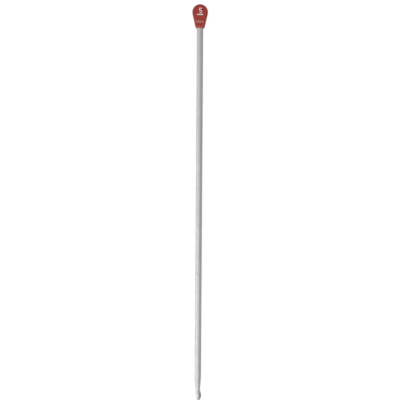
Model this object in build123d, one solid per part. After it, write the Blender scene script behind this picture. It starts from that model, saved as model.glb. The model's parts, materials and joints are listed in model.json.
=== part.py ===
from build123d import *
import math
import os

# A Tunisian (afghan) crochet hook: a straight coated aluminium rod with a hook formed on
# one end and a flat plastic stopper head pressed on the other. Millimetres throughout.
#
# The hook lies on a surface. +X runs along the rod from the tip of the hook to the head,
# +Z is up, out of the printed face, and the mouth of the hook opens towards -Y. The
# origin is on the surface, under the middle of the whole object.

# Driving dimensions
ROD_DIA = 5.0              # the hook's nominal size, which the head states
ROD_LENGTH = 300.0         # from the tip of the hook to the rod's hidden end
HEAD_LENGTH = 18.3
HEAD_WIDTH = 12.1          # the diameter of the head's round end
HEAD_THICKNESS = 7.0
HEAD_SIDE_ANGLE = 13.0     # each side of the head against the rod's axis, in degrees
SOCKET_DEPTH = 12.0        # how far the rod goes into the head

# The head's roundings and its socket
RIM_ROUND = 1.1            # the edges round both faces
CORNER_ROUND = 1.2         # the two corners beside the rod
SOCKET_LEAD_IN = 0.2       # chamfer at the socket's mouth
SOCKET_SPARE = 0.4         # room behind the rod's end

# The rod's hidden end, with rings that begin at the head's mouth
END_CHAMFER = 0.4
GROOVE_COUNT = 4
GROOVE_WIDTH = 0.9
GROOVE_DEPTH = 0.3
GROOVE_PITCH = 2.8

# The hook. Stations are distances from its tip along the rod.
HOOK_TURN = 30.0           # how far the mouth is turned up, from -Y towards +Z, in degrees
TAPER_START = 22.0         # from here on the rod has its full diameter
TAPER_RADIUS = 117.0       # the long arc that thins the rod towards the neck
TAPER_END = 9.0
NECK_THINNEST = 6.8
NECK_STOP = 2.0            # where the neck's own rounded end lies, inside the nose
NOSE_WIDEST = 3.7          # the nose is widest here, and rounds off to the tip
NOSE_BACK = 5.0            # half length of the longer half oval behind that
NOSE_STOP = 8.3            # where the nose ends, inside the neck
NOSE_ACROSS = 4.5          # its width, across the mouth
NOSE_DEPTH = 3.5           # its depth, along the mouth's direction
NOSE_OFFSET = 0.85         # its middle, from the rod's axis towards the mouth
FRONT_FLAT = 2.2           # the flat on the nose's front, from the rod's axis
THROAT_STATION = 7.75      # the middle of the throat's round bottom
THROAT_RADIUS = 1.25
THROAT_FLOOR = 1.25        # the throat's bottom, from the rod's axis

# The white marks, stamped on the head's upper face. Stations here are from its round end.
INK_THICKNESS = 0.05
NUMERAL_HEIGHT = 4.2
NUMERAL_WIDTH = 2.3
NUMERAL_STROKE = 0.65
NUMERAL_STATION = 5.05
NUMERAL_SHIFT = 0.3        # to the reader's right of the rod's axis
STEM_LEFT = -1.04          # the stem's outer edge, from the figure's middle
BOWL_HEIGHT = 2.7
BOWL_GAP_HIGH = 0.65       # the bowl's open stretch on the left runs from here above its middle
BOWL_GAP_LOW = -0.45       # to here
BOWL_GAP_EDGE = -0.29      # and inwards as far as this
BAR_WIDTH = 4.8
BAR_HEIGHT = 0.8
BAR_STATION = 8.05
TICK_WIDTH = 0.16
TICK_HEIGHT = 1.5
TICK_PITCH = 0.78
TICK_STATION = 13.55
TICK_ROW_HALF = 2.85       # from the middle to the outer edge of a row
TICKS_LEFT = 5
TICKS_RIGHT = 3

# Worked out from the above
ROD_RADIUS = ROD_DIA / 2
LENGTH = ROD_LENGTH - SOCKET_DEPTH + HEAD_LENGTH
COLLAR = LENGTH - HEAD_LENGTH        # the station where the rod enters the head
AXIS_Z = HEAD_THICKNESS / 2
ROD_AXIS = Axis((0, 0, AXIS_Z), (1, 0, 0))


def at(station):
    """The X of a station, which is a distance from the hook's tip."""
    return station - LENGTH / 2


def mouth_direction():
    turn = math.radians(HOOK_TURN)
    return Vector(0, -math.cos(turn), math.sin(turn))


def profile_plane():
    """The plane of the rod's axis and the mouth: its X is the station, its Y the mouth."""
    side = Vector(1, 0, 0).cross(mouth_direction())
    return Plane(origin=(at(0), 0, AXIS_Z), x_dir=(1, 0, 0), z_dir=side)


def section_plane(station):
    """A plane square to the rod. Its X is the mouth's direction."""
    return Plane(origin=(at(station), 0, AXIS_Z), x_dir=mouth_direction(), z_dir=(1, 0, 0))


def turned_rod():
    """The rod and the hook's neck as one turned form, grooved where the head hides it."""
    slope = math.asin((TAPER_START - TAPER_END) / TAPER_RADIUS)
    taper_radius = ROD_RADIUS - TAPER_RADIUS * (1 - math.cos(slope))
    flatten = (TAPER_END - NECK_THINNEST) / math.sin(slope)
    neck_radius = taper_radius - flatten * (1 - math.cos(slope))
    end_radius = ROD_RADIUS - END_CHAMFER
    corners = Polyline(
        (NECK_STOP, 0),
        (ROD_LENGTH, 0),
        (ROD_LENGTH, end_radius),
        (ROD_LENGTH - END_CHAMFER, ROD_RADIUS),
        (TAPER_START, ROD_RADIUS),
    )
    taper = TangentArc((TAPER_START, ROD_RADIUS), (TAPER_END, taper_radius), tangent=(-1, 0))
    neck = TangentArc((TAPER_END, taper_radius), (NECK_THINNEST, neck_radius), tangent=taper % 1)
    rounded_end = EllipticalCenterArc(
        (NECK_THINNEST, 0), NECK_THINNEST - NECK_STOP, neck_radius, start_angle=90, arc_size=90
    )
    outline = make_face(Curve() + [corners, taper, neck, rounded_end])
    rod = revolve(profile_plane() * outline, axis=ROD_AXIS)
    ring = Cylinder(ROD_DIA, GROOVE_WIDTH) - Cylinder(ROD_RADIUS - GROOVE_DEPTH, GROOVE_WIDTH)
    for i in range(GROOVE_COUNT):
        rod -= section_plane(COLLAR + GROOVE_WIDTH / 2 + i * GROOVE_PITCH) * ring
    return rod


def nose():
    """The hook's olive-shaped nose: two half ovals turned about its middle, then widened."""
    half = NOSE_DEPTH / 2
    stop_angle = math.degrees(math.acos((NOSE_STOP - NOSE_WIDEST) / NOSE_BACK))
    stop = (NOSE_STOP, half * math.sin(math.radians(stop_angle)))
    tip = EllipticalCenterArc((NOSE_WIDEST, 0), NOSE_WIDEST, half, start_angle=90, arc_size=90)
    back = EllipticalCenterArc(
        (NOSE_WIDEST, 0), NOSE_BACK, half, start_angle=stop_angle, arc_size=90 - stop_angle
    )
    outline = make_face(Curve() + [tip, back, Polyline(stop, (NOSE_STOP, 0), (0, 0))])
    olive = scale(revolve(outline, axis=Axis.X), by=(1, 1, NOSE_ACROSS / NOSE_DEPTH))
    return profile_plane() * Pos(0, NOSE_OFFSET, 0) * olive


def hook_rod():
    """The whole rod: its hook is cut with a flat on the front and a round throat behind it."""
    room = 2 * ROD_DIA
    flat = Pos(NOSE_WIDEST, FRONT_FLAT + room / 2, 0) * Box(room, room, room)
    groove = Pos(THROAT_STATION, THROAT_FLOOR + THROAT_RADIUS, 0) * Cylinder(THROAT_RADIUS, room)
    rod = turned_rod() + nose()
    rod -= profile_plane() * flat
    rod -= profile_plane() * groove
    return rod


def marked_face():
    """The head's upper face, as the reader sees it: X to the right and Y to the round end."""
    return Plane(origin=(LENGTH / 2, 0, HEAD_THICKNESS), x_dir=(0, -1, 0), z_dir=(0, 0, 1))


def stopper_head():
    """The flat teardrop that keeps the stitches on the rod."""
    radius = HEAD_WIDTH / 2
    lean = math.radians(HEAD_SIDE_ANGLE)
    collar_half = (radius - (HEAD_LENGTH - radius) * math.sin(lean)) / math.cos(lean)
    right = (radius * math.cos(lean), -radius - radius * math.sin(lean))
    left = (-right[0], right[1])
    round_end = ThreePointArc(left, (0, 0), right)
    rest = Polyline(right, (collar_half, -HEAD_LENGTH), (-collar_half, -HEAD_LENGTH), left)
    face = make_face(Curve() + [round_end, rest])
    corners = face.vertices().sort_by(Axis.Y)[:2]
    face = fillet(corners, CORNER_ROUND)
    head = extrude(marked_face() * face, -HEAD_THICKNESS)
    rims = head.faces().sort_by(Axis.Z)
    head = fillet(rims[0].edges() + rims[-1].edges(), RIM_ROUND)
    bore = section_plane(COLLAR) * Cylinder(
        ROD_RADIUS, SOCKET_DEPTH + SOCKET_SPARE, align=(Align.CENTER, Align.CENTER, Align.MIN)
    )
    lead_in = section_plane(COLLAR) * Cone(
        ROD_RADIUS + SOCKET_LEAD_IN, ROD_RADIUS, SOCKET_LEAD_IN,
        align=(Align.CENTER, Align.CENTER, Align.MIN),
    )
    return head - bore - lead_in


def stamped(shape, right, station):
    """A flat mark laid on the head's upper face, with its middle at the given place."""
    return extrude(marked_face() * Pos(right, -station) * shape, INK_THICKNESS)


def size_numeral():
    """The figure 5: a top bar, a stem down its left side and a bowl that is open on the left."""
    half_width, half_height = NUMERAL_WIDTH / 2, NUMERAL_HEIGHT / 2
    bowl_half = BOWL_HEIGHT / 2
    bowl = Ellipse(half_width, bowl_half)
    bowl -= Ellipse(half_width - NUMERAL_STROKE, bowl_half - NUMERAL_STROKE)
    gap = Rectangle(NUMERAL_WIDTH, BOWL_GAP_HIGH - BOWL_GAP_LOW)
    bowl -= Pos(BOWL_GAP_EDGE - half_width, (BOWL_GAP_HIGH + BOWL_GAP_LOW) / 2) * gap
    bowl_middle = bowl_half - half_height
    stem_bottom = bowl_middle + BOWL_GAP_HIGH
    stem = Rectangle(NUMERAL_STROKE, half_height - stem_bottom)
    stem = Pos(STEM_LEFT + NUMERAL_STROKE / 2, (half_height + stem_bottom) / 2) * stem
    top_bar = Pos(0, half_height - NUMERAL_STROKE / 2) * Rectangle(-2 * STEM_LEFT, NUMERAL_STROKE)
    return stamped(top_bar + stem + Pos(0, bowl_middle) * bowl, NUMERAL_SHIFT, NUMERAL_STATION)


def size_bar():
    return stamped(Rectangle(BAR_WIDTH, BAR_HEIGHT), 0, BAR_STATION)


def ticks(count, side):
    """A group of upright ticks, counted inwards from the outer end of the row."""
    outer = TICK_ROW_HALF - TICK_WIDTH / 2
    tick = Rectangle(TICK_WIDTH, TICK_HEIGHT)
    row = Sketch() + [Pos(side * (outer - i * TICK_PITCH), 0) * tick for i in range(count)]
    return stamped(row, 0, TICK_STATION)


PARTS = {
    "hook_rod": hook_rod(),
    "stopper_head": stopper_head(),
    "size_numeral": size_numeral(),
    "size_bar": size_bar(),
    "left_ticks": ticks(TICKS_LEFT, -1),
    "right_ticks": ticks(TICKS_RIGHT, 1),
}

os.makedirs("parts", exist_ok=True)
for name, part in PARTS.items():
    export_step(part, f"parts/{name}.step")
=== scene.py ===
import json
import math

import bmesh
import bpy
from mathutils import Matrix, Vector


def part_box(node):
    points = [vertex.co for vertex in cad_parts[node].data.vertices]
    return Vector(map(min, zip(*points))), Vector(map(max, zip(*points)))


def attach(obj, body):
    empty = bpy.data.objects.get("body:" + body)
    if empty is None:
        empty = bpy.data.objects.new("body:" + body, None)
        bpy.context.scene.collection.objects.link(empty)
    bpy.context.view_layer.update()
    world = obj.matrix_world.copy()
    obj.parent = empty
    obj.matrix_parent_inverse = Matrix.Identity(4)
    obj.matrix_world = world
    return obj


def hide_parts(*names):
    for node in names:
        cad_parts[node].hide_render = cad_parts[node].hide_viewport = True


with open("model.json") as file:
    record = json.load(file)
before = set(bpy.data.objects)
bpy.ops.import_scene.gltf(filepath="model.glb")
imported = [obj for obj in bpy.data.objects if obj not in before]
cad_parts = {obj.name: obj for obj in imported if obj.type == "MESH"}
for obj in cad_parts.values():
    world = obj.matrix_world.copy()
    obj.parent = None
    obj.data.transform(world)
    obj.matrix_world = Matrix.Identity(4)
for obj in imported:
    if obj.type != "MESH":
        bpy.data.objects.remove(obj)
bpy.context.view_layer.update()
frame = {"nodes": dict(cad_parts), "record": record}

# A Tunisian crochet hook that lies on a pale floor, seen from straight above. Lengths are
# millimetres, which MM turns into metres. The floor, lamps and textures are in metres.
MM = 0.001

# Sizes from the frame
mounts = {m["name"]: m for m in frame["record"]["mounts"]}
ROD_RADIUS = mounts["shaft"]["dims"]["r_mm"]
AXIS_Z = mounts["shaft"]["pos_m"][2] / MM
rod_low, rod_high = (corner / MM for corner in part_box("hook_rod"))
head_low, head_high = (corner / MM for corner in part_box("stopper_head"))
TIP_X = rod_low.x
ROD_LENGTH = rod_high.x - rod_low.x
COLLAR = head_low.x - TIP_X
HEAD_LENGTH = head_high.x - head_low.x
HEAD_RADIUS = (head_high.y - head_low.y) / 2
HEAD_THICKNESS = head_high.z - head_low.z

# The hook, with stations measured from its tip
HOOK_TURN = math.radians(30)     # the mouth is turned up from -Y towards +Z
TAPER_START, TAPER_END, TAPER_RADIUS = 22.0, 9.0, 117.0
NECK_THINNEST, NECK_STOP = 6.8, 2.0
NOSE_WIDEST, NOSE_BACK = 3.7, 5.0
NOSE_ACROSS, NOSE_DEPTH, NOSE_OFFSET = 4.5, 3.5, 0.85
TIP_DROP = 0.35                  # the tip lies this much nearer the rod's axis
FRONT_FLAT = 2.2
THROAT_STATION, THROAT_RADIUS, THROAT_FLOOR = 7.75, 1.25, 1.25
LIP_ROUND = 0.2
NOSE_BLEND = 0.35                # how softly the nose runs into the neck
MOUTH_BLEND = 0.14               # how soft the edges of the flat and the throat are
PAINTED_FACET_SHADE = 0.66               # painted shade: the pressed flat's colour is scaled to this, beside the rod's
FACET_SKIN, FACET_SOFT = 0.2, 0.15    # how far below the flat the painted shade starts, and its soft edge
FACET_FADE = 0.4                 # the stretch before the throat over which the painted shade ends

# The rod's rings: points round each, and how many rings lie on each stretch
RINGS_ROUND = 192
TIP_RINGS, NOSE_RINGS, LIP_RINGS, THROAT_RINGS = 28, 18, 16, 36
TAPER_RINGS, ROD_RINGS, HIDDEN_RINGS = 44, 28, 3
LIP_STEP = 0.022                 # between the rings that round the lip

# The stopper head
SIDE_ANGLE = math.radians(13)
CORNER_ROUND, RIM_ROUND = 1.2, 1.1
RIM_BORDER = 0.08                # a narrow level ring inside the rim, so that the face shades flat
SHARP_ANGLE = math.radians(30)   # edges that turn by more than this stay crisp
PARTING_HEIGHT, PARTING_WIDTH = 0.05, 0.18
GATE_RADIUS, GATE_DEPTH = 0.85, 0.4
GATE_INSET, GATE_SINK = 0.35, 0.1     # the dent's middle, inside the round end and the face
SOCKET_LEAD_IN, SOCKET_SPARE, SOCKET_SLACK = 0.2, 0.4, 0.01
CUTTER_SPARE = 1.0               # the socket's cutter starts this far outside the head

# Steps of the head's arcs, of its straight runs and of the socket
ROUND_END_STEPS, CORNER_STEPS, RIM_STEPS, SOCKET_STEPS = 200, 16, 12, 128
SIDE_STEPS, COLLAR_STEPS = 24, 16

# The camera, straight above
PICTURE_WIDTH = 309.7            # what the picture spans at the rod's height
LENS = 100.0
SENSOR = 36.0
LEAN = math.radians(0.37)        # the rod leans this much to the right of upright
CAMERA_X, CAMERA_Y = 2.0, -0.84

FLOOR_HALF = 3.0                 # half the floor's side, in metres


# ---------------------------------------------------------------- shapes

def smooth_min(a, b, blend):
    """The lower of two numbers, rounded off where they cross."""
    overlap = max(blend - abs(a - b), 0) / blend
    return min(a, b) - overlap * overlap * blend / 4


def smooth_max(a, b, blend):
    return -smooth_min(-a, -b, blend)


def smooth_step(value, low, high):
    t = min(max((value - low) / (high - low), 0), 1)
    return t * t * (3 - 2 * t)


def arc_drop(radius, reach):
    """How far an arc falls away from its tangent over a reach."""
    return radius - math.sqrt(radius ** 2 - reach ** 2)


def neck_radius(station):
    """The turned form under the hook: full rod, long taper, thin neck, rounded end."""
    taper_slope = (TAPER_START - TAPER_END) / TAPER_RADIUS
    flatten = (TAPER_END - NECK_THINNEST) / taper_slope
    taper_drop = arc_drop(TAPER_RADIUS, TAPER_START - TAPER_END)
    thinnest = ROD_RADIUS - taper_drop - arc_drop(flatten, TAPER_END - NECK_THINNEST)
    if station >= TAPER_START:
        return ROD_RADIUS
    if station >= TAPER_END:
        return ROD_RADIUS - arc_drop(TAPER_RADIUS, TAPER_START - station)
    if station >= NECK_THINNEST:
        return thinnest + arc_drop(flatten, station - NECK_THINNEST)
    reach = (NECK_THINNEST - station) / (NECK_THINNEST - NECK_STOP)
    return thinnest * math.sqrt(max(1 - reach * reach, 0))


def nose_scale(station):
    """How full the nose is at a station: 1 where it is widest, 0 at its tip."""
    half = NOSE_WIDEST if station < NOSE_WIDEST else NOSE_BACK
    reach = (station - NOSE_WIDEST) / half
    return math.sqrt(max(1 - reach * reach, 0))


def mouth_height(station):
    """How high the mouth's profile leaves the metal: flat, round lip, round throat."""
    wall = THROAT_RADIUS + LIP_ROUND
    above = THROAT_FLOOR + THROAT_RADIUS
    lip = THROAT_STATION - math.sqrt(wall ** 2 - (above - FRONT_FLAT + LIP_ROUND) ** 2)
    touch = lip + LIP_ROUND * (THROAT_STATION - lip) / wall
    if station <= lip:
        return FRONT_FLAT
    if station <= touch:
        return FRONT_FLAT - LIP_ROUND + math.sqrt(LIP_ROUND ** 2 - (station - lip) ** 2)
    inside = THROAT_RADIUS ** 2 - (station - THROAT_STATION) ** 2
    return above - math.sqrt(inside) if inside > 0 else 2 * ROD_RADIUS


def ray_to_oval(centre, half_u, half_v, start, angle):
    """How far a ray from (start, 0) runs to an oval's edge, or 0 from outside it."""
    du, dv = math.cos(angle) / half_u, math.sin(angle) / half_v
    offset = (start - centre) / half_u
    a, b, c = du * du + dv * dv, offset * du, offset * offset - 1
    return (math.sqrt(b * b - a * c) - b) / a if c < 0 else 0


def nose_middle(station):
    """The nose's middle line, from the rod's axis: level at its widest, lowest at its tip."""
    drop = 2 * TIP_DROP * (1 - smooth_step(station, -NOSE_WIDEST, NOSE_WIDEST))
    return NOSE_OFFSET - drop


def ring_middle(station):
    """Where a ring's rays start: in the nose near the tip, on the rod's axis farther back."""
    leaves_nose, reaches_axis = 4.5, TAPER_END
    return nose_middle(station) * (1 - smooth_step(station, leaves_nose, reaches_axis))


def hook_radius(station, angle):
    """The rod's surface at a station, from the ring's middle, at an angle from the mouth."""
    middle = ring_middle(station)
    radius = 0
    neck = neck_radius(station)
    if neck > 0:
        radius = ray_to_oval(0, neck, neck, middle, angle)
    full = nose_scale(station)
    if full > 0:
        centre = nose_middle(station)
        nose = ray_to_oval(centre, full * NOSE_DEPTH / 2, full * NOSE_ACROSS / 2, middle, angle)
        radius = smooth_max(radius, nose, NOSE_BLEND) if nose and radius else max(radius, nose)
    faces_mouth = math.cos(angle) > 0.02
    if faces_mouth and station < TAPER_START:
        to_mouth = (mouth_height(station) - middle) / math.cos(angle)
        radius = smooth_min(radius, to_mouth, MOUTH_BLEND)
    return radius


def spread(start, stop, count):
    """Evenly spaced places from the start up to, but without, the stop."""
    return [start + (stop - start) * i / count for i in range(count)]


def hook_stations():
    """Stations of the rod's rings: close together round the hook, far apart on the rod."""
    quarter = math.pi / 2
    tip = [NOSE_WIDEST * (1 - math.cos(quarter * i / TIP_RINGS)) for i in range(1, TIP_RINGS)]
    lip_start = THROAT_STATION - THROAT_RADIUS - LIP_ROUND
    nose = spread(NOSE_WIDEST, lip_start, NOSE_RINGS)
    lip = [lip_start + LIP_STEP * i for i in range(LIP_RINGS)]
    turn_from, turn_to = math.radians(17), math.radians(172)
    turns = spread(turn_from, turn_to, THROAT_RINGS) + [turn_to]
    throat = [THROAT_STATION - THROAT_RADIUS * math.cos(turn) for turn in turns]
    throat = [station for station in throat if station > lip[-1]]
    taper = spread(throat[-1] + 0.1, TAPER_START, TAPER_RINGS)
    rod = spread(TAPER_START, COLLAR, ROD_RINGS)
    hidden = spread(COLLAR, ROD_LENGTH, HIDDEN_RINGS) + [ROD_LENGTH]
    return tip + nose + lip + throat + taper + rod + hidden


def in_hook_frame(station, towards_mouth, across):
    """A place on the hook, in metres in the row's frame."""
    y = -towards_mouth * math.cos(HOOK_TURN) - across * math.sin(HOOK_TURN)
    z = towards_mouth * math.sin(HOOK_TURN) - across * math.cos(HOOK_TURN)
    return Vector((TIP_X + station, y, AXIS_Z + z)) * MM


def mesh_object(name, verts, faces):
    """A smooth-shaded piece with its normals outwards."""
    mesh = bpy.data.meshes.new(name)
    mesh.from_pydata([tuple(v) for v in verts], [], faces)
    mesh.validate()
    edit = bmesh.new()
    edit.from_mesh(mesh)
    bmesh.ops.recalc_face_normals(edit, faces=edit.faces)
    edit.to_mesh(mesh)
    edit.free()
    mesh.polygons.foreach_set("use_smooth", [True] * len(mesh.polygons))
    piece = bpy.data.objects.new(name, mesh)
    bpy.context.scene.collection.objects.link(piece)
    return piece


def join_rings(count, size):
    """Quads between neighbouring rings of the same size, numbered one after another."""
    quads = []
    for r in range(count - 1):
        for i in range(size):
            j = (i + 1) % size
            quads.append((r * size + i, r * size + j, (r + 1) * size + j, (r + 1) * size + i))
    return quads


def make_rod():
    """The whole rod with its hook, as rings closed by a fan at the tip and a flat end."""
    stations = hook_stations()
    verts = []
    for station in stations:
        middle = ring_middle(station)
        for i in range(RINGS_ROUND):
            angle = 2 * math.pi * i / RINGS_ROUND
            radius = hook_radius(station, angle)
            towards_mouth = middle + radius * math.cos(angle)
            verts.append(in_hook_frame(station, towards_mouth, radius * math.sin(angle)))
    faces = join_rings(len(stations), RINGS_ROUND)
    verts.append(in_hook_frame(0, nose_middle(0), 0))
    tip = len(verts) - 1
    for i in range(RINGS_ROUND):
        faces.append((tip, (i + 1) % RINGS_ROUND, i))
    last = (len(stations) - 1) * RINGS_ROUND
    faces.append(tuple(range(last, last + RINGS_ROUND)))
    return mesh_object("hook_rod_fine", verts, faces)


def arc_points(x, y, radius, start, stop, steps):
    angles = [start + (stop - start) * i / steps for i in range(steps + 1)]
    return [(x + radius * math.cos(angle), y + radius * math.sin(angle)) for angle in angles]


def points_between(here, there, steps):
    """The points that divide a straight run, without its two ends."""
    return [
        (here[0] + (there[0] - here[0]) * k / steps, here[1] + (there[1] - here[1]) * k / steps)
        for k in range(1, steps)
    ]


def head_outline(inset):
    """Points round the head's outline, seen from above, moved inwards by the inset."""
    round_x = COLLAR + HEAD_LENGTH - HEAD_RADIUS
    corner_x = COLLAR + CORNER_ROUND
    corner_y = HEAD_RADIUS - CORNER_ROUND - (round_x - corner_x) * math.sin(SIDE_ANGLE)
    corner_y /= math.cos(SIDE_ANGLE)
    side = math.pi / 2 + SIDE_ANGLE
    corner = CORNER_ROUND - inset
    arcs = [
        arc_points(round_x, 0, HEAD_RADIUS - inset, -side, side, ROUND_END_STEPS),
        arc_points(corner_x, corner_y, corner, side, math.pi, CORNER_STEPS),
        arc_points(corner_x, -corner_y, corner, math.pi, 2 * math.pi - side, CORNER_STEPS),
    ]
    outline = []
    for arc, following, steps in zip(arcs, arcs[1:] + arcs[:1], (SIDE_STEPS, COLLAR_STEPS, SIDE_STEPS)):
        outline += arc + points_between(arc[-1], following[0], steps)
    return outline


def head_levels():
    """(inset, height) of each ring, from the under face over the rim to the upper face."""
    arc = [math.pi / 2 * i / RIM_STEPS for i in range(RIM_STEPS + 1)]
    lower = [(RIM_ROUND * (1 - math.sin(a)), RIM_ROUND * (1 - math.cos(a))) for a in arc]
    half, ridge = HEAD_THICKNESS / 2, PARTING_WIDTH / 2
    side = [
        (0, half - 2 * ridge),
        (0, half - ridge),
        (-PARTING_HEIGHT, half - ridge / 3),
        (-PARTING_HEIGHT, half + ridge / 3),
        (0, half + ridge),
        (0, half + 2 * ridge),
    ]
    upper = [(inset, HEAD_THICKNESS - height) for inset, height in reversed(lower)]
    flat = RIM_ROUND + RIM_BORDER
    return [(flat, 0)] + lower + side + upper + [(flat, HEAD_THICKNESS)]


def make_head():
    """The moulding: rings from face to face, a gate dent at its round end and the socket."""
    levels = head_levels()
    rings = [head_outline(inset) for inset, _ in levels]
    size = len(rings[0])
    verts = []
    for (inset, height), ring in zip(levels, rings):
        verts += [Vector((TIP_X + x, y, height)) for x, y in ring]
    gate = Vector((head_high.x - GATE_INSET, 0, HEAD_THICKNESS - GATE_SINK))
    inwards = Vector((-0.6, 0, -0.8))
    for v in verts:
        near = 1 - smooth_step((v - gate).length, 0.25 * GATE_RADIUS, GATE_RADIUS)
        v += inwards * near * GATE_DEPTH
    faces = join_rings(len(levels), size)
    faces.append(tuple(range(size)))
    last = (len(levels) - 1) * size
    faces.append(tuple(range(last, last + size)))
    head = mesh_object("stopper_head_fine", [v * MM for v in verts], faces)
    bore_head(head)
    return head


def bore_head(head):
    """Cuts the blind socket with its lead-in, which the rod fills."""
    radius = ROD_RADIUS + SOCKET_SLACK
    profile = [
        (COLLAR - CUTTER_SPARE, radius + SOCKET_LEAD_IN + CUTTER_SPARE),
        (COLLAR + SOCKET_LEAD_IN, radius),
        (ROD_LENGTH + SOCKET_SPARE, radius),
    ]
    size = SOCKET_STEPS
    verts = []
    for station, r in profile:
        for i in range(size):
            angle = 2 * math.pi * i / size
            y, z = r * math.cos(angle), AXIS_Z + r * math.sin(angle)
            verts.append(Vector((TIP_X + station, y, z)) * MM)
    faces = join_rings(len(profile), size)
    faces.append(tuple(range(size)))
    faces.append(tuple(range(len(verts) - size, len(verts))))
    cutter = mesh_object("socket_cutter", verts, faces)
    cut = head.modifiers.new("socket", "BOOLEAN")
    cut.operation = "DIFFERENCE"
    cut.solver = "EXACT"
    cut.object = cutter
    bpy.context.view_layer.update()
    bored = head.evaluated_get(bpy.context.evaluated_depsgraph_get())
    done = bpy.data.meshes.new_from_object(bored)
    head.modifiers.clear()
    head.data = done
    bpy.data.objects.remove(cutter)
    mark_sharp(head, SHARP_ANGLE)


def mark_sharp(piece, limit):
    """Edges that turn by more than the limit stay crisp in smooth shading."""
    edit = bmesh.new()
    edit.from_mesh(piece.data)
    for face in edit.faces:
        face.smooth = True
    for edge in edit.edges:
        if len(edge.link_faces) == 2 and edge.calc_face_angle(0) > limit:
            edge.smooth = False
    edit.to_mesh(piece.data)
    edit.free()


# ---------------------------------------------------------------- materials

def new_material(name):
    material = bpy.data.materials.new(name)
    material.use_nodes = True
    nodes, links = material.node_tree.nodes, material.node_tree.links
    return material, nodes, links, nodes["Principled BSDF"]


def noise(nodes, links, scale, stretch=(1, 1, 1), detail=2.0, roughness=0.5):
    """A noise texture on the piece's own coordinates, in metres."""
    place = nodes.new("ShaderNodeTexCoord")
    mapping = nodes.new("ShaderNodeMapping")
    mapping.inputs["Scale"].default_value = stretch
    texture = nodes.new("ShaderNodeTexNoise")
    texture.inputs["Scale"].default_value = scale
    texture.inputs["Detail"].default_value = detail
    texture.inputs["Roughness"].default_value = roughness
    links.new(place.outputs["Object"], mapping.inputs["Vector"])
    links.new(mapping.outputs["Vector"], texture.inputs["Vector"])
    return texture.outputs["Fac"]


def grey(level):
    return (level, level, level)


def ramp(nodes, links, factor, low, high, start=0.3, stop=0.7):
    """Turns a factor into a colour between two ends."""
    node = nodes.new("ShaderNodeValToRGB")
    for element, place, colour in zip(node.color_ramp.elements, (start, stop), (low, high)):
        element.position = place
        element.color = (*colour, 1)
    links.new(factor, node.inputs["Fac"])
    return node.outputs["Color"]


def bump(nodes, links, height, strength, distance, normal=None):
    """A normal that follows a height, on top of another normal if one is given."""
    node = nodes.new("ShaderNodeBump")
    node.inputs["Strength"].default_value = strength
    node.inputs["Distance"].default_value = distance
    links.new(height, node.inputs["Height"])
    if normal is not None:
        links.new(normal, node.inputs["Normal"])
    return node.outputs["Normal"]


def fade(nodes, links, value, start, width):
    """0 before a place and 1 a width beyond it, or the other way for a negative width."""
    node = nodes.new("ShaderNodeMapRange")
    node.inputs["From Min"].default_value = start * MM
    node.inputs["From Max"].default_value = (start + width) * MM
    links.new(value, node.inputs["Value"])
    return node.outputs["Result"]


def painted_facet_shade(nodes, links):
    """Painted shade: 1 all over, but less on the flat of the nose's front, which faces away from the
    lamps.
    """
    place = nodes.new("ShaderNodeTexCoord")
    along = nodes.new("ShaderNodeSeparateXYZ")
    links.new(place.outputs["Object"], along.inputs[0])
    towards_mouth = nodes.new("ShaderNodeVectorMath")
    towards_mouth.operation = "DOT_PRODUCT"
    towards_mouth.inputs[1].default_value = (0, -math.cos(HOOK_TURN), math.sin(HOOK_TURN))
    links.new(place.outputs["Object"], towards_mouth.inputs[0])
    flat_height = AXIS_Z * math.sin(HOOK_TURN) + FRONT_FLAT
    throat_x = TIP_X + THROAT_STATION - THROAT_RADIUS
    high = fade(nodes, links, towards_mouth.outputs["Value"], flat_height - FACET_SKIN, FACET_SOFT)
    front = fade(nodes, links, along.outputs["X"], throat_x, -FACET_FADE)
    both = nodes.new("ShaderNodeMath")
    both.operation = "MULTIPLY"
    links.new(high, both.inputs[0])
    links.new(front, both.inputs[1])
    shade = nodes.new("ShaderNodeMath")
    shade.operation = "MULTIPLY_ADD"
    shade.inputs[1].default_value = PAINTED_FACET_SHADE - 1
    shade.inputs[2].default_value = 1
    links.new(both.outputs[0], shade.inputs[0])
    return shade.outputs[0]


def rod_material():
    """Pearl-grey coating on drawn aluminium: satin, with fine lines along the rod, and painted shade on
    the nose's pressed flat.
    """
    material, nodes, links, shader = new_material("pearl_grey_coating")
    lines = noise(nodes, links, 1.0, stretch=(45, 5200, 5200), detail=3)
    cloud = noise(nodes, links, 120.0, detail=3)
    flakes = noise(nodes, links, 14000.0, detail=1)
    tone = nodes.new("ShaderNodeMix")
    tone.data_type = "FLOAT"
    tone.inputs["Factor"].default_value = 0.45
    links.new(cloud, tone.inputs["A"])
    links.new(lines, tone.inputs["B"])
    colour = ramp(nodes, links, tone.outputs["Result"], (0.36, 0.36, 0.348), (0.425, 0.425, 0.412))
    # painted shade: the colour is darkened on the nose's pressed flat, which faces away from the lamps
    painted_shade_colour = nodes.new("ShaderNodeVectorMath")
    painted_shade_colour.operation = "SCALE"
    links.new(colour, painted_shade_colour.inputs[0])
    links.new(painted_facet_shade(nodes, links), painted_shade_colour.inputs["Scale"])
    links.new(painted_shade_colour.outputs["Vector"], shader.inputs["Base Color"])
    rough = ramp(nodes, links, lines, grey(0.47), grey(0.63))
    links.new(rough, shader.inputs["Roughness"])
    drawn = bump(nodes, links, lines, 0.4, 0.00002)
    links.new(bump(nodes, links, flakes, 0.15, 0.000008, drawn), shader.inputs["Normal"])
    shader.inputs["Metallic"].default_value = 0.35
    return material


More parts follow.
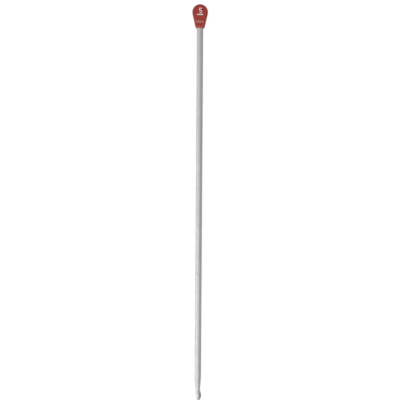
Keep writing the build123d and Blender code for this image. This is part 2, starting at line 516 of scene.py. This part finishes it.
def head_material():
    """Moulded plastic, red all through, with faint flow marks and a handled gloss."""
    material, nodes, links, shader = new_material("red_plastic")
    flow = noise(nodes, links, 420.0, stretch=(0.6, 1, 1), detail=3)
    colour = ramp(nodes, links, flow, (0.235, 0.0145, 0.007), (0.27, 0.0185, 0.008))
    links.new(colour, shader.inputs["Base Color"])
    handled = noise(nodes, links, 260.0, stretch=(1, 1.6, 1), detail=4)
    gloss = ramp(nodes, links, handled, grey(0.27), grey(0.36))
    links.new(gloss, shader.inputs["Roughness"])
    waves = noise(nodes, links, 300.0, detail=2)
    links.new(bump(nodes, links, waves, 0.08, 0.0002), shader.inputs["Normal"])
    shader.inputs["IOR"].default_value = 1.49
    return material


def foil_material():
    """White pigment foil, a little thin in places."""
    material, nodes, links, shader = new_material("white_foil")
    patchy = noise(nodes, links, 2600.0, detail=4)
    colour = ramp(nodes, links, patchy, (0.50, 0.42, 0.40), (0.62, 0.58, 0.55), 0.35, 0.6)
    links.new(colour, shader.inputs["Base Color"])
    shader.inputs["Roughness"].default_value = 0.45
    return material


def floor_material():
    """A pale floor that glows almost white, so that it shows hardly any shadow."""
    material, nodes, links, shader = new_material("floor")
    shader.inputs["Base Color"].default_value = (*grey(0.10), 1)
    shader.inputs["Roughness"].default_value = 0.9
    shader.inputs["Specular IOR Level"].default_value = 0.1
    shader.inputs["Emission Color"].default_value = (*grey(1), 1)
    shader.inputs["Emission Strength"].default_value = 0.925
    return material


# ---------------------------------------------------------------- the scene

def dress():
    """Puts the fine rod and head in place of the CAD nodes, and the foil on the marks."""
    coating, plastic, foil = rod_material(), head_material(), foil_material()
    rod = make_rod()
    rod.data.materials.append(coating)
    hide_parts("hook_rod")
    head = make_head()
    head.data.materials.append(plastic)
    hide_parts("stopper_head")
    for piece in (rod, head):
        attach(piece, "root")
    for name in ("size_numeral", "size_bar", "left_ticks", "right_ticks"):
        node = frame["nodes"][name]
        node.data.materials.clear()
        node.data.materials.append(foil)


def make_floor():
    mesh = bpy.data.meshes.new("floor")
    corners = [(x * FLOOR_HALF, y * FLOOR_HALF, 0) for x, y in ((-1, -1), (1, -1), (1, 1), (-1, 1))]
    mesh.from_pydata(corners, [], [(0, 1, 2, 3)])
    floor = bpy.data.objects.new("floor", mesh)
    bpy.context.scene.collection.objects.link(floor)
    mesh.materials.append(floor_material())


def area_light(name, place, aim, size, watts):
    """A soft lamp that faces its aim. Places and sizes are metres."""
    light = bpy.data.lights.new(name, "AREA")
    light.shape = "RECTANGLE"
    light.size, light.size_y = size
    light.energy = watts
    lamp = bpy.data.objects.new(name, light)
    bpy.context.scene.collection.objects.link(lamp)
    lamp.location = place
    lamp.rotation_euler = (Vector(aim) - Vector(place)).to_track_quat("-Z", "Y").to_euler()
    return lamp


def make_world():
    """A white studio: bright at the horizon, dark just above it, and bright again overhead."""
    world = bpy.data.worlds.new("studio")
    world.use_nodes = True
    nodes, links = world.node_tree.nodes, world.node_tree.links
    direction = nodes.new("ShaderNodeTexCoord")
    height = nodes.new("ShaderNodeSeparateXYZ")
    brightness = nodes.new("ShaderNodeValToRGB")
    stops = brightness.color_ramp.elements
    stops.new(0.5)
    for stop, (position, level) in zip(stops, ((0.13, 1.0), (0.19, 0.06), (1.0, 0.7))):
        stop.position = position
        stop.color = (*grey(level), 1)
    links.new(direction.outputs["Generated"], height.inputs[0])
    links.new(height.outputs["Z"], brightness.inputs["Fac"])
    links.new(brightness.outputs["Color"], nodes["Background"].inputs["Color"])
    bpy.context.scene.world = world


def make_lights():
    make_world()
    area_light("key", (-0.25, 0.57, 0.47), (-0.03, 0, 0), (0.85, 0.8), 4.0)
    area_light("low_side", (-0.35, 0.62, 0.29), (-0.10, 0, 0), (0.8, 0.42), 2.8)
    area_light("overhead", (-0.45, 0, 1.2), (-0.1, 0, 0), (0.7, 0.7), 6.2)


def make_camera():
    """Looks straight down, with the hook's tip at the bottom of the picture."""
    camera = bpy.data.cameras.new("camera")
    camera.lens, camera.sensor_width = LENS, SENSOR
    distance = PICTURE_WIDTH / 2 * LENS / (SENSOR / 2)
    seat = bpy.data.objects.new("camera", camera)
    bpy.context.scene.collection.objects.link(seat)
    seat.location = Vector((CAMERA_X, CAMERA_Y, AXIS_Z + distance)) * MM
    seat.rotation_euler = (0, 0, LEAN - math.pi / 2)
    camera.clip_start, camera.clip_end = 0.01, 10
    bpy.context.scene.camera = seat


def set_picture():
    """Plain colours: what the materials say is what the picture shows."""
    bpy.context.scene.view_settings.view_transform = "Standard"
    bpy.context.scene.view_settings.look = "None"


make_camera()
dress()
make_floor()
make_lights()
set_picture()
